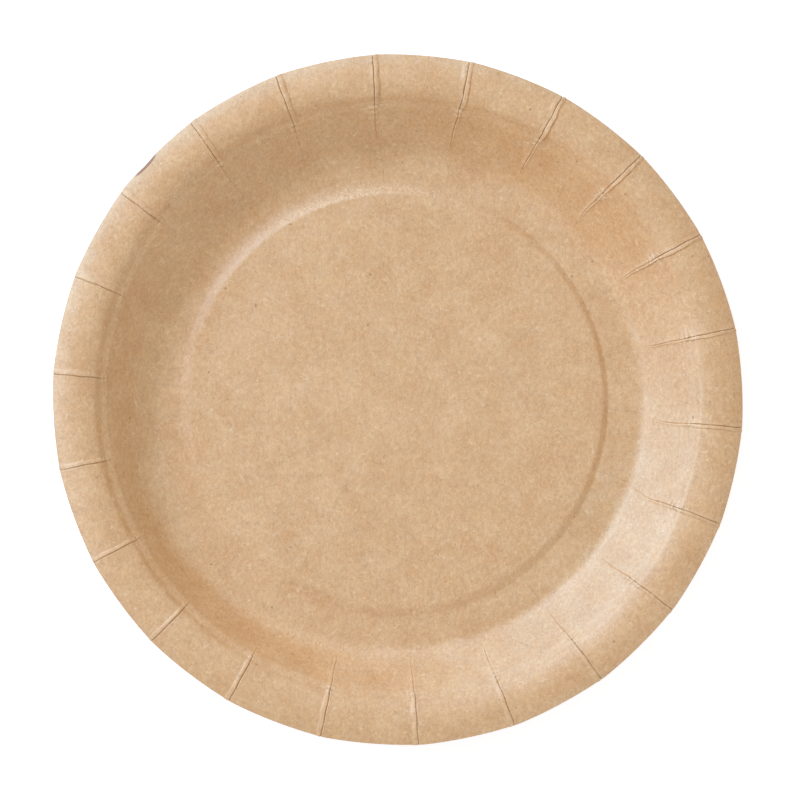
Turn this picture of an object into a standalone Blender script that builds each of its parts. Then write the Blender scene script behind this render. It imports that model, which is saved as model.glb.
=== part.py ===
"""A round disposable plate pressed from one sheet of kraft board, with a pleated wall and rim.

The sheet is described by its middle surface: a profile that runs from the centre out to the
cut edge, turned about Z. The flat blank has more circumference than the pressed shape wherever
the profile climbs, and that spare board is gathered into evenly spaced Z-folds. Every fold has
its three layers: the upper one ends in a nose over a narrow crevice, and the underside is the
same section turned half round.

Metres, +Z up. The origin is on the axis, at the level that the plate stands on.
"""

import math
from collections import namedtuple

import bmesh
import bpy

# Overall sizes
OVERALL_DIAMETER = 0.180
OVERALL_HEIGHT = 0.015
BOARD_THICKNESS = 0.00045

# Raised centre panel and the flat ledge around it, which the plate stands on
PANEL_RISE = 0.0010
PANEL_STEP_WIDTH = 0.0030
LEDGE_WIDTH = 0.0058

# Wall
FOOT_FILLET_RADIUS = 0.0062
WALL_ANGLE = math.radians(47.0)

# Shoulder: the short pressed band between the wall and the rim
SHOULDER_LEDGE_WIDTH = 0.0017
SHOULDER_LEDGE_ANGLE = math.radians(36.0)
SHOULDER_LIP_WIDTH = 0.0007
SHOULDER_LIP_ANGLE = math.radians(48.0)

# Rim: an arc that rises from the crease to its crown and falls to the cut edge
RIM_WIDTH = 0.0113
RIM_CROWN_INSET = 0.0066
RIM_ARC_RADIUS = 0.0120
EDGE_DIP = 0.0003

# Pleats
PLEAT_COUNT = 22
FIRST_PLEAT_ANGLE = math.radians(11.75)
PLEAT_PRESSED_SHARE = 0.55
PLEAT_CREVICE = 0.00003
PLEAT_LIP = 0.00005
PLEAT_VALLEY = 0.00025
PLEAT_RAMP = 0.0006
PLEAT_FULL_OVERLAP = 0.0005

# Facets
PANEL_FACET_WIDTH = 0.0064
STEP_SEGMENTS = 3
FILLET_SEGMENTS = 3
WALL_SEGMENTS = 2
RIM_RISE_SEGMENTS = 2
RIM_FALL_SEGMENTS = 3
SHARP_ANGLE = math.radians(35.0)

KRAFT_COLOUR = (0.64, 0.425, 0.245, 1.0)
KRAFT_ROUGHNESS = 0.85

# A station is a point of the middle surface's profile. slope is the profile's angle there, and
# miter is what keeps the board's thickness across a crease.
Station = namedtuple("Station", "radius height slope miter pleated")

LAYER = PLEAT_PRESSED_SHARE * BOARD_THICKNESS
HALF_BOARD = BOARD_THICKNESS / 2
HALF_PLEAT = 1.5 * LAYER + PLEAT_CREVICE
PANEL_SEGMENTS = round(math.pi * OVERALL_DIAMETER / PLEAT_COUNT / PANEL_FACET_WIDTH)


def clear_scene():
    for obj in list(bpy.data.objects):
        bpy.data.objects.remove(obj, do_unlink=True)


def crease(radius, height, inner_slope, outer_slope, pleated=True):
    """A station where two straight stretches of the profile meet."""
    turn = (outer_slope - inner_slope) / 2
    return Station(radius, height, (inner_slope + outer_slope) / 2, 1 / math.cos(turn), pleated)


def rim_stations():
    """The rim from its crease to the cut edge, on one arc whose top is the crown."""
    edge_slope = -math.asin(RIM_CROWN_INSET / RIM_ARC_RADIUS)
    edge_radius = OVERALL_DIAMETER / 2 + HALF_PLEAT * math.sin(edge_slope)
    crown_radius = edge_radius - RIM_CROWN_INSET
    crown_height = OVERALL_HEIGHT - HALF_PLEAT
    crease_slope = math.asin((RIM_WIDTH - RIM_CROWN_INSET) / RIM_ARC_RADIUS)
    rise = [crease_slope * (1 - i / RIM_RISE_SEGMENTS) for i in range(RIM_RISE_SEGMENTS)]
    fall = [edge_slope * i / RIM_FALL_SEGMENTS for i in range(RIM_FALL_SEGMENTS + 1)]
    stations = []
    for slope in rise + fall:
        radius = crown_radius - RIM_ARC_RADIUS * math.sin(slope)
        height = crown_height - RIM_ARC_RADIUS * (1 - math.cos(slope))
        stations.append(Station(radius, height, slope, 1.0, True))
    return stations


def wall_stations(crease_radius, crease_height, rim_slope):
    """From the foot of the wall up to the rim's crease, worked out downwards from the crease."""
    lip_radius = crease_radius - SHOULDER_LIP_WIDTH
    lip_height = crease_height - SHOULDER_LIP_WIDTH * math.tan(SHOULDER_LIP_ANGLE)
    top_radius = lip_radius - SHOULDER_LEDGE_WIDTH
    top_height = lip_height - SHOULDER_LEDGE_WIDTH * math.tan(SHOULDER_LEDGE_ANGLE)
    fillet_height = FOOT_FILLET_RADIUS * (1 - math.cos(WALL_ANGLE))
    wall_rise = top_height - HALF_BOARD - fillet_height
    wall_run = wall_rise / math.tan(WALL_ANGLE)
    foot_radius = top_radius - wall_run - FOOT_FILLET_RADIUS * math.sin(WALL_ANGLE)
    stations = []
    for i in range(FILLET_SEGMENTS + 1):
        slope = WALL_ANGLE * i / FILLET_SEGMENTS
        radius = foot_radius + FOOT_FILLET_RADIUS * math.sin(slope)
        height = HALF_BOARD + FOOT_FILLET_RADIUS * (1 - math.cos(slope))
        stations.append(Station(radius, height, slope, 1.0, i == FILLET_SEGMENTS))
    for i in range(1, WALL_SEGMENTS):
        share = i / WALL_SEGMENTS
        radius = top_radius - wall_run * (1 - share)
        height = top_height - wall_rise * (1 - share)
        stations.append(Station(radius, height, WALL_ANGLE, 1.0, True))
    stations.append(crease(top_radius, top_height, WALL_ANGLE, SHOULDER_LEDGE_ANGLE))
    stations.append(crease(lip_radius, lip_height, SHOULDER_LEDGE_ANGLE, SHOULDER_LIP_ANGLE))
    stations.append(crease(crease_radius, crease_height, SHOULDER_LIP_ANGLE, rim_slope))
    return stations


def panel_stations(foot_radius):
    """The step from the raised centre panel down to the ledge: a smooth S from level to level."""
    outer = foot_radius - LEDGE_WIDTH
    stations = []
    for i in range(STEP_SEGMENTS + 1):
        share = i / STEP_SEGMENTS
        radius = outer - PANEL_STEP_WIDTH * (1 - share)
        height = HALF_BOARD + PANEL_RISE * (1 - share * share * (3 - 2 * share))
        slope = -math.atan(PANEL_RISE / PANEL_STEP_WIDTH * 6 * share * (1 - share))
        stations.append(Station(radius, height, slope, 1.0, False))
    return stations


def profile():
    """All stations from the centre panel's edge out to the cut edge."""
    rim = rim_stations()
    wall = wall_stations(rim[0].radius, rim[0].height, rim[0].slope)
    return panel_stations(wall[0].radius) + wall + rim[1:]


def overlaps(stations):
    """Each station's fold overlap: half of one pleat's share of the blank's spare circumference."""
    lengths = [stations[0].radius]
    for inner, outer in zip(stations, stations[1:]):
        step = math.hypot(outer.radius - inner.radius, outer.height - inner.height)
        lengths.append(lengths[-1] + step)
    return [
        math.pi * (length - station.radius) / PLEAT_COUNT
        for station, length in zip(stations, lengths)
    ]


def fold_section(overlap):
    """The upper side of a pleat's section, as (along the rim, above the middle surface) pairs.

    From left to right: the ramp up from the flat board, the top layer out to its nose, down the
    nose, back through the crevice to where the middle layer turns, out again over the bottom
    layer, and up the far side of the valley. A small overlap has a shallower fold.
    """
    depth = min(1.0, overlap / PLEAT_FULL_OVERLAP)
    half = overlap / 2
    crevice_end = min(LAYER - half, half + PLEAT_LIP / 2)
    full = [
        (-half - PLEAT_RAMP, HALF_BOARD),
        (-half, HALF_PLEAT),
        (half, HALF_PLEAT),
        (half, -LAYER / 2),
        (crevice_end, -LAYER / 2 - PLEAT_CREVICE / 2),
        (half + PLEAT_LIP, -LAYER / 2 - PLEAT_CREVICE),
        (half + PLEAT_LIP + PLEAT_VALLEY, HALF_BOARD),
    ]
    return [(along, HALF_BOARD + depth * (above - HALF_BOARD)) for along, above in full]


def place(station, along, above, angle, dip=0.0):
    """A point at a station: along the rim from a pleat's angle, and above the middle surface."""
    offset = above * station.miter
    radius = station.radius - offset * math.sin(station.slope) - dip * math.cos(station.slope)
    height = station.height + offset * math.cos(station.slope) - dip * math.sin(station.slope)
    turned = angle + along / station.radius
    return (radius * math.cos(turned), radius * math.sin(turned), height)


def pleat_angle(index):
    return FIRST_PLEAT_ANGLE + 2 * math.pi * index / PLEAT_COUNT


def sector_points(station, overlap, index, side, at_edge):
    """One face's points from one pleat up to the next: the pleat's own, then the panel's."""
    angle = pleat_angle(index)
    if station.pleated:
        section = fold_section(overlap)
        if side < 0:
            section = [(-along, -above) for along, above in reversed(section)]
    else:
        section = [(0.0, side * HALF_BOARD)]
    points = [place(station, along, above, angle) for along, above in section]
    start = section[-1][0] / station.radius
    end = 2 * math.pi / PLEAT_COUNT + section[0][0] / station.radius
    for i in range(1, PANEL_SEGMENTS):
        share = i / PANEL_SEGMENTS
        dip = EDGE_DIP * 4 * share * (1 - share) if at_edge else 0.0
        along = (start + (end - start) * share) * station.radius
        points.append(place(station, along, side * HALF_BOARD, angle, dip))
    return points


def add_rings(mesh, stations, side):
    """The rings of vertices of the upper face (side 1) or the underside (side -1).

    rings[station][sector] is that sector's list of vertices.
    """
    rings = []
    for number, (station, overlap) in enumerate(zip(stations, overlaps(stations))):
        at_edge = number == len(stations) - 1
        ring = []
        for index in range(PLEAT_COUNT):
            points = sector_points(station, overlap, index, side, at_edge)
            ring.append([mesh.verts.new(point) for point in points])
        rings.append(ring)
    return rings


def with_next(ring, index):
    """A sector's vertices and the first of the next one, which closes it."""
    return ring[index] + [ring[(index + 1) % PLEAT_COUNT][0]]


def add_face(mesh, corners, side):
    """A face with its corners given anticlockwise from above, turned over for the underside."""
    mesh.faces.new(corners if side > 0 else corners[::-1])


def skin_between(mesh, inner, outer, side):
    """Faces between two rings. Where the pleats begin, each fans out from its root vertex."""
    for index in range(PLEAT_COUNT):
        near = with_next(inner, index)
        far = with_next(outer, index)
        extra = len(far) - len(near)
        for i in range(extra):
            add_face(mesh, [near[0], far[i], far[i + 1]], side)
        for i in range(len(near) - 1):
            corners = [near[i], far[i + extra], far[i + extra + 1], near[i + 1]]
            add_face(mesh, corners, side)


def skin_centre(mesh, ring, height, side):
    """The flat middle of the centre panel, as a fan about the axis."""
    centre = mesh.verts.new((0.0, 0.0, height))
    for index in range(PLEAT_COUNT):
        corners = with_next(ring, index)
        for near, far in zip(corners, corners[1:]):
            add_face(mesh, [centre, near, far], side)


def skin_edge(mesh, upper, lower):
    """The cut edge, which joins the two faces and shows the three layers of every fold."""
    top_of = [0, 1, 2, 3, 4, 4, 5, 6]
    bottom_of = [0, 1, 2, 2, 3, 4, 5, 6]
    panel = range(7, 7 + PANEL_SEGMENTS)
    top_of.extend(panel)
    bottom_of.extend(panel)
    for index in range(PLEAT_COUNT):
        top = with_next(upper, index)
        bottom = with_next(lower, index)
        for i in range(len(top_of) - 1):
            corners = [bottom[bottom_of[i]], bottom[bottom_of[i + 1]]]
            corners += [top[top_of[i + 1]], top[top_of[i]]]
            mesh.faces.new(list(dict.fromkeys(corners)))


def kraft_material():
    material = bpy.data.materials.new("kraft_board")
    material.use_nodes = True
    shader = material.node_tree.nodes["Principled BSDF"]
    shader.inputs["Base Color"].default_value = KRAFT_COLOUR
    shader.inputs["Roughness"].default_value = KRAFT_ROUGHNESS
    shader.inputs["Metallic"].default_value = 0.0
    return material


def build_plate():
    stations = profile()
    mesh = bmesh.new()
    rings = {side: add_rings(mesh, stations, side) for side in (1, -1)}
    for side, faces in rings.items():
        middle_height = stations[0].height + side * HALF_BOARD
        skin_centre(mesh, faces[0], middle_height, side)
        for inner, outer in zip(faces, faces[1:]):
            skin_between(mesh, inner, outer, side)
    skin_edge(mesh, rings[1][-1], rings[-1][-1])
    data = bpy.data.meshes.new("plate")
    mesh.to_mesh(data)
    mesh.free()
    data.materials.append(kraft_material())
    data.shade_smooth()
    data.set_sharp_from_angle(angle=SHARP_ANGLE)
    plate = bpy.data.objects.new("plate", data)
    bpy.context.scene.collection.objects.link(plate)


clear_scene()
build_plate()
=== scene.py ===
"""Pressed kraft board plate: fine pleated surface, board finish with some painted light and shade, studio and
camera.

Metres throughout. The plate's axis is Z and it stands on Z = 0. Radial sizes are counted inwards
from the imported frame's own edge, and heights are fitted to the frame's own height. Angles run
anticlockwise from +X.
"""
import math
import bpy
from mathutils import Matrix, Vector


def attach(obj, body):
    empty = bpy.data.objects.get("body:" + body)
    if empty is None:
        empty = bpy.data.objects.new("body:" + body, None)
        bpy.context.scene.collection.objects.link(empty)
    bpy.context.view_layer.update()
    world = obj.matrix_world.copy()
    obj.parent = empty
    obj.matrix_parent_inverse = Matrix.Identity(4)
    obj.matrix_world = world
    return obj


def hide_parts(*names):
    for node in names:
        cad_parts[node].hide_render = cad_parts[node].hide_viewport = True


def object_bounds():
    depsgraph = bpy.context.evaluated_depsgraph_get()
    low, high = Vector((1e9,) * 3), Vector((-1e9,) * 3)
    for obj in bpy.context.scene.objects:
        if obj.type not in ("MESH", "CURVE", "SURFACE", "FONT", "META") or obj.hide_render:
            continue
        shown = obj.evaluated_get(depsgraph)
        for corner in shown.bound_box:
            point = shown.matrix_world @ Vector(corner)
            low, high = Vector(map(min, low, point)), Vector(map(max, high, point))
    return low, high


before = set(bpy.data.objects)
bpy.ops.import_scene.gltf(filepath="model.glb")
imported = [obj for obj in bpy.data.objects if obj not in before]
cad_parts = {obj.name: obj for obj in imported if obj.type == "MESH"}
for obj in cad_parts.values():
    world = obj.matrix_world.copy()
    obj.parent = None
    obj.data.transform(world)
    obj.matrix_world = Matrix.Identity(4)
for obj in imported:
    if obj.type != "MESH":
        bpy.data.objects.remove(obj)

from types import SimpleNamespace

import bpy
import numpy as np
from mathutils import Matrix, Vector

CAD_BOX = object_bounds()
BOX_HIGH = np.array(CAD_BOX[1])
MM = 0.001

# ---------------------------------------------------------------- the plate's sizes

CAD_PLATE = bpy.data.objects["plate"].data
CAD_POINTS = np.zeros(len(CAD_PLATE.vertices) * 3)
CAD_PLATE.vertices.foreach_get("co", CAD_POINTS)
EDGE_RADIUS = float(np.hypot(*CAD_POINTS.reshape(-1, 3)[:, :2].T).max())
PLATE_HEIGHT = float(BOX_HIGH[2])
BOARD = 0.45 * MM
HALF_BOARD = BOARD / 2

PANEL_RISE = 1.0 * MM
PANEL_STEP_IN = 34.55 * MM
PANEL_STEP_WIDTH = 3.4 * MM
FOOT_IN = 27.0 * MM
FOOT_MOST_INWARDS = 2.3 * MM
FOOT_FILLET = 5.4 * MM
WALL_ANGLE = math.radians(47.0)
# Past the wall come the shoulder, a shallower band with a steeper lip, and the crease into the rim.
SHOULDER_FOOT_IN = 13.8 * MM
SHOULDER_FOOT_HALF = 0.35 * MM
SHOULDER_ANGLE = math.radians(37.0)
SHOULDER_LIP_IN = 12.2 * MM
SHOULDER_LIP_HALF = 0.35 * MM
LIP_ANGLE = math.radians(49.0)
CREASE_IN = 11.35 * MM
CREASE_HALF_CRISP = 0.3 * MM
CREASE_HALF_SOFT = 1.6 * MM
CROWN_IN = 6.7 * MM
RIM_OUTER_ARC = 12.0 * MM
RIM_INNER_ARC = 8.0 * MM
STEEPEST_RIM_SINE = 0.8
EDGE_ROLL_PAST_CROWN = 3 * MM
# Shares of the step's width: its slope has grown to the full by the first and eases off from the second.
STEP_STEEP_FROM = 0.45
STEP_STEEP_TO = 0.8
# Shares of the centre panel's radius, between which the step's unevenness grows from nothing to the full.
PANEL_EVEN_TO = 0.25
PANEL_UNEVEN_FROM = 0.95

# The board isn't pressed quite evenly all round. Each value here is a sum of bells of the angle:
# (height, angle of the middle in degrees, spread in degrees).
STEP_HIGHER = ((1.35 * MM, 108, 23), (-0.35 * MM, 205, 40), (-0.25 * MM, 328, 38))
STEP_WIDER = ((-1.3 * MM, 12, 38), (1.1 * MM, 160, 32))
STEP_WIDER_OUTWARDS = ((0.8 * MM, 283, 26),)
FOOT_OUTWARDS = ((2.4 * MM, 212, 30), (-FOOT_MOST_INWARDS, 143, 29), (1.5 * MM, 316, 40))
FOOT_SOFTER = ((3.6 * MM, 140, 45), (2.88 * MM, 212, 26), (-1.2 * MM, 316, 40))
SHOULDER_FLATTER = ((math.radians(8.0), 215, 45),)
INNER_ARC_WIDER = ((5.0 * MM, 215, 45), (9.0 * MM, 352, 30), (3.0 * MM, 75, 20))
OUTER_ARC_WIDER = ((15.0 * MM, 308, 36), (6.75 * MM, 124, 32))
CREASE_CRISPER = ((1.0, 215, 45), (0.85, 352, 30))
CREASE_OUTWARDS = ((0.4 * MM, 180, 35),)
CROWN_OUTWARDS = ((1.33 * MM, 298, 34), (0.7 * MM, 150, 45))
EDGE_ROLL = ((math.radians(8.5), 116, 35),)
# The wall's steepness and the step's place follow a cosine of the angle instead.
STEEPENING = math.radians(6.4)
STEEP_SIDE = math.radians(190.0)
STEP_SHIFT = 0.45 * MM

# ---------------------------------------------------------------- the pleats' sizes

SEED = 11
PLEATS = 22
FIRST_PLEAT = math.radians(12.0)
SECTOR = 2 * math.pi / PLEATS
PLEAT_SCATTER = math.radians(0.1)
# How far the folds' common centre lies from the plate's: the blank wasn't laid quite in the middle.
BLANK_SHIFT_X = -1.34 * MM
BLANK_SHIFT_Y = -0.39 * MM

# A fold's section: its overlap as a multiple of the board's spare width, the least overlap, the
# spare width from which it is fully deep, the crevices between its layers, the lip past its nose,
# the nose's turn in degrees and length as a share of the overlap, the valley and the ramp on
# either side, and the groove scored before the ramp.
OVERLAP_SPREAD = 1.3
LEAST_OVERLAP = 0.1 * MM
FULL_DEPTH_SPARE = 0.3 * MM
CREVICE = 0.03 * MM
LIP = 0.06 * MM
NOSE_TURN = 165.0
NOSE_REACH = 0.45
VALLEY = 0.24 * MM
VALLEY_SHARES = (0.5, 1.6)
RAMP = 0.15 * MM
GROOVE = 0.08 * MM
GROOVE_ON_WALL = 0.2
GROOVE_LOSS_AT_EDGE = 0.8
GROOVE_FULL_TO_IN = 5 * MM

# How far the top layer stands up over the panels, and how it leans towards the nose or away from it.
RELIEF = 0.3 * MM
RELIEF_RANGE = (0.75, 1.1)
RELIEF_ON_WALL = 0.55
RELIEF_RISES_IN = 17 * MM
RELIEF_FULL_IN = 13 * MM
RELIEF_FULL_TO_IN = 6 * MM
RELIEF_LOSS_AT_EDGE = 0.5
RELIEF_LIMITS = (0.12, 1.05)
LOW_BY_EDGE_IN = 1.5 * MM
LEVEL_RELIEF = 0.75
LEAN = 0.3
LEAN_SIDE = math.radians(35.0)

# The panel dips a little beside each fold.
TUCK_DEPTH = 0.05 * MM
TUCK_WIDTH = 1.3 * MM

# Where a fold climbs onto the shoulder it is pinched: narrower, wrinkled and more worn.
PINCH_RADIUS = EDGE_RADIUS - 13.3 * MM
PINCH_HALF = 1.0 * MM
PINCH_SCATTER = 0.7 * MM
PINCH_RANGE = (0.65, 1.15)
PINCH_WIDTH = 1.3 * MM
PINCH_NARROWING = 0.4
WRINKLE = 0.09 * MM
WRINKLE_LENGTH = 1.2 * MM
WRINKLE_WIDTH = 1.2 * MM
WRINKLE_PHASES = (0.0, 6.0)

# Random changes along a fold: sines of (length, height), the height a share or a distance. Each
# pleat's sines are stretched and scaled by a random number in these ranges.
WAVE_STRETCH = (0.8, 1.25)
WAVE_SIZE = (0.4, 1.0)
OVERLAP_WAVES = ((11 * MM, 0.16), (4 * MM, 0.1))
VALLEY_WAVES = ((7 * MM, 0.25), (3 * MM, 0.2))
DRIFT_WAVES = ((20 * MM, 0.11 * MM), (6 * MM, 0.07 * MM))
DEPTH_WAVES = ((6 * MM, 0.2), (2.5 * MM, 0.12))
WEAR_WAVES = ((6 * MM, 0.25), (2.5 * MM, 0.2))

# A fold's depth on the wall, its lower end, and what the faint ones lose. Bells as above.
WALL_DEPTH = 0.75
WALL_DEPTH_RANGE = (0.7, 1.15)
FAINT_FOLDS = ((1.6, 190, 48),)
FAINT_LOSS = 0.7
FAINT_END_OUTWARDS = 3 * MM
FOLD_END_IN = 24 * MM
FOLD_END_SCATTER = 1.6 * MM
FOLD_END_LENGTH = 2 * MM
FOLDS_REACH_INWARDS = ((1.8 * MM, 356, 22),)
FULL_DEPTH_IN = 13 * MM
FULL_DEPTH_HALF = 1.5 * MM
RIM_FOLDS_SHALLOWER = ((0.45, 212, 40),)
LEAST_FOLD_RELIEF = 0.4
FOLDS_HIGHER = ((0.65, 50, 36), (0.6, 222, 30))
HOOK_IN = 17.5 * MM
HOOK_LENGTH = 5.5 * MM
HOOK_LENGTHS_AT_MOST = 1.3
HOOKS = ((1.7 * MM, 348, 13), (0.5 * MM, 270, 22), (-0.9 * MM, 40, 14), (-0.9 * MM, 90, 20))

EDGE_DIP = 0.3 * MM
EDGE_DIP_REACH = 4.0 * MM
DENT_ANGLE = math.radians(137.6)
DENT_HALF_ANGLE = math.radians(2.7)
DENT_DEPTH = 0.38 * MM
# Painted shadow: a dark brown mark at the dent that stands for the shaded gap under the dented edge.
GAP_SHADOW_IN = 0.75 * MM
# Half the painted gap shadow's size across the edge, along it and upwards, in millimetres: it runs right
# through.
GAP_SHADOW_HALF_SIZE = (0.85, 4.7, 1000.0)

# ---------------------------------------------------------------- wear, colour shifts and painted light, bells as above

FOLD_WEAR = 0.4
FOLD_WEAR_WIDTH = 0.8 * MM
MOST_FOLD_WEAR = 2.2
PINCH_WEAR = 1.5
PINCH_WEAR_ON_WRINKLES = 1.4
PINCH_WEAR_WIDER = 1.3
WALL_FOLDS_WORN = ((0.9, 42, 24),)
SCUFFED_FOLD = ((1.6, 69, 13),)
SCUFF_IN = 3.5 * MM
SCUFF_LENGTH = 2.2 * MM
SCUFF_PAST_NOSE = 0.9 * MM
SCUFF_WIDTH = 0.35 * MM
# A paler middle of the centre panel: painted light, standing in for the walls' shade that darkens the panel
# towards its edge.
MIDDLE_PAINTED_LIGHT = 0.12
MIDDLE_PAINTED_LIGHT_RADIUS = 34 * MM
# A paler band along the wall's foot on one side.
FOOT_PALE_BAND = ((0.55, 246, 34),)
FOOT_PALE_BAND_IN = 22.4 * MM
FOOT_PALE_BAND_WIDTH = 1.5 * MM
# Painted highlight on the centre panel's step, on the side the lamp lights.
STEP_HIGHLIGHT = ((1.0, 103, 24),)
STEP_HIGHLIGHT_HALF_WIDTH = 1.7 * MM

# Browning along each fold on the wall: painted shade in the crease.
FOLD_PAINTED_SHADE = 2.0
FOLD_PAINTED_SHADE_WIDTH = 0.45 * MM
# The wall's band: greyed where the wall faces towards the lamp and away from it, a painted sheen, and browned
# at the sides between.
WALL_TINT_IN = 18.2 * MM
WALL_TINT_INWARDS = ((2.5 * MM, 158, 50),)
WALL_TINT_HALF_WIDTH = 7.5 * MM
WALL_TINT_WIDER = ((3.0 * MM, 158, 50), (-3.0 * MM, 247, 28))
WALL_BROWNED = ((1.3, 46, 23), (1.2, 247, 24))
WALL_PAINTED_SHEEN = ((1.15, 158, 42), (1.05, 325, 32), (0.45, 95, 20), (0.4, 178, 22))
# The ledge's band: browned where the wall shades it from the lamp and greyed where the lamp lights it,
# painted shade and light.
LEDGE_TINT_IN = 31.0 * MM
LEDGE_TINT_HALF_WIDTH = 5.5 * MM
LEDGE_SHADE_AND_LIGHT = ((0.65, 180, 34), (-0.8, 326, 22))
EDGE_GREY_WIDTH = 2.8 * MM
EDGE_GREYED = ((1.5, 115, 36), (0.8, 312, 34))

# ---------------------------------------------------------------- the mesh

# Rows of points from the centre out, as (radius where a stretch ends, rows in it).
UPPER_ROWS = ((50 * MM, 3), (54 * MM, 1), (57.4 * MM, 14), (61.6 * MM, 2), (68.2 * MM, 12),
              (74.4 * MM, 7), (79.6 * MM, 23), (EDGE_RADIUS - 0.4 * MM, 15), (EDGE_RADIUS, 1))
LOWER_ROWS = ((50 * MM, 2), (54 * MM, 1), (57.4 * MM, 7), (61.6 * MM, 1), (68.2 * MM, 6),
              (75.6 * MM, 6), (79.6 * MM, 10), (EDGE_RADIUS - 0.4 * MM, 9), (EDGE_RADIUS, 1))
PROFILE_ROWS = 1201
PANEL_COLUMNS = 17
CROWDING = 0.75
RAMP_STEPS = 4
NOSE_STEPS = 5
FAR_STEPS = 4
FOLD_COLUMNS = RAMP_STEPS + NOSE_STEPS + FAR_STEPS + 4
SHARP_EDGE = math.radians(50.0)

# ---------------------------------------------------------------- the board's colours

KRAFT = (0.64, 0.425, 0.245)
CUT_KRAFT = (0.46, 0.32, 0.2)
PALE_FIBRE = (0.88, 0.74, 0.56)
DARK_FIBRE = (0.36, 0.2, 0.09)
SHIVE = (0.26, 0.14, 0.06)
FLECK = (0.9, 0.76, 0.58)
# Pale colour of rubbed fibre, also used for the painted highlights.
RUBBED_AND_HIGHLIGHT = (0.86, 0.7, 0.52)
# Colour of the painted shadow in the dent's gap.
GAP_SHADOW_COLOUR = (0.27, 0.115, 0.03)
# What a board's colour is multiplied by where it is fully greyed and fully browned.
GREYED_TINT = (0.99, 1.06, 1.135)
BROWNED_TINT = (1.02, 0.955, 0.865)
# How strongly each channel follows the pulp's clouds, its grain and its changes of hue.
CLOUD_TINT = (1.0, 1.85, 2.9)
GRAIN_TINT = (1.0, 1.35, 1.75)
HUE_TINT = (0.25, 0.0, -0.65)

# ---------------------------------------------------------------- studio and camera

LAMP_DISTANCE = 1.2
KEY_AZIMUTH = math.radians(144)
KEY_ELEVATION = math.radians(31)
KEY_SIDES = (1.2, 0.45)
KEY_POWER = 15.0
KEY_COLOUR = (0.573, 0.768, 1.0)
BOUNCE_AZIMUTH = math.radians(320)
BOUNCE_ELEVATION = math.radians(25)
BOUNCE_SIDES = (0.8, 0.5)
BOUNCE_POWER = 1.44
BOUNCE_COLOUR = (0.3, 0.6, 1.0)
FILL_COLOUR = (1.0, 0.791, 0.54)
FILL_STRENGTH = 0.714
FLOOR_HALF_SIDE = 2.0
FLOOR_DROP = 0.1 * MM
FLOOR_COLOUR = (0.74, 0.84, 1.0)
FLOOR_GLOW_COLOUR = (0.97, 1.0, 1.07)
FLOOR_GLOW = 0.6
CAMERA_DISTANCE = 0.75
CAMERA_LEAN = math.radians(3.6)
CAMERA_LEAN_AZIMUTH = math.radians(207.0)
CAMERA_AIM_Y = -0.4 * MM
CAMERA_AIM_BELOW_TOP = 2.0 * MM
FRAME_WIDTH = 0.2077


def smooth(low, high, value):
    """A smooth step: 0 below low, 1 above high, and 3t^2 - 2t^3 between them."""
    t = np.clip((value - low) / (high - low), 0.0, 1.0)
    return t * t * (3 - 2 * t)


def smooth_about(middle, half, value):
    """The same smooth step, given by its middle and half its length."""
    return smooth(middle - half, middle + half, value)


def bell(value, power=2):
    """A bell: 1 where the value is 0 and e^-1 at 1. An even power over 2 gives it a flat top."""
    return np.exp(-(value ** power))


def bells(angle, each):
    """A sum of bells of the angle round the plate, each (height, middle in degrees, spread in degrees).

    A bell is its height times e^(-t^2 / 2), where t is the angle's distance from the middle in spreads.
    """
    total = 0.0
    for height, middle, spread in each:
        away = np.abs((angle - math.radians(middle) + math.pi) % (2 * math.pi) - math.pi)
        total = total + height * np.exp(-0.5 * (np.degrees(away) / spread) ** 2)
    return total


# ---------------------------------------------------------------- the board's shape

def step_rise(angle):
    """Height of the centre panel over the ledge, as pressed."""
    return PANEL_RISE + bells(angle, STEP_HIGHER)


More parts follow.
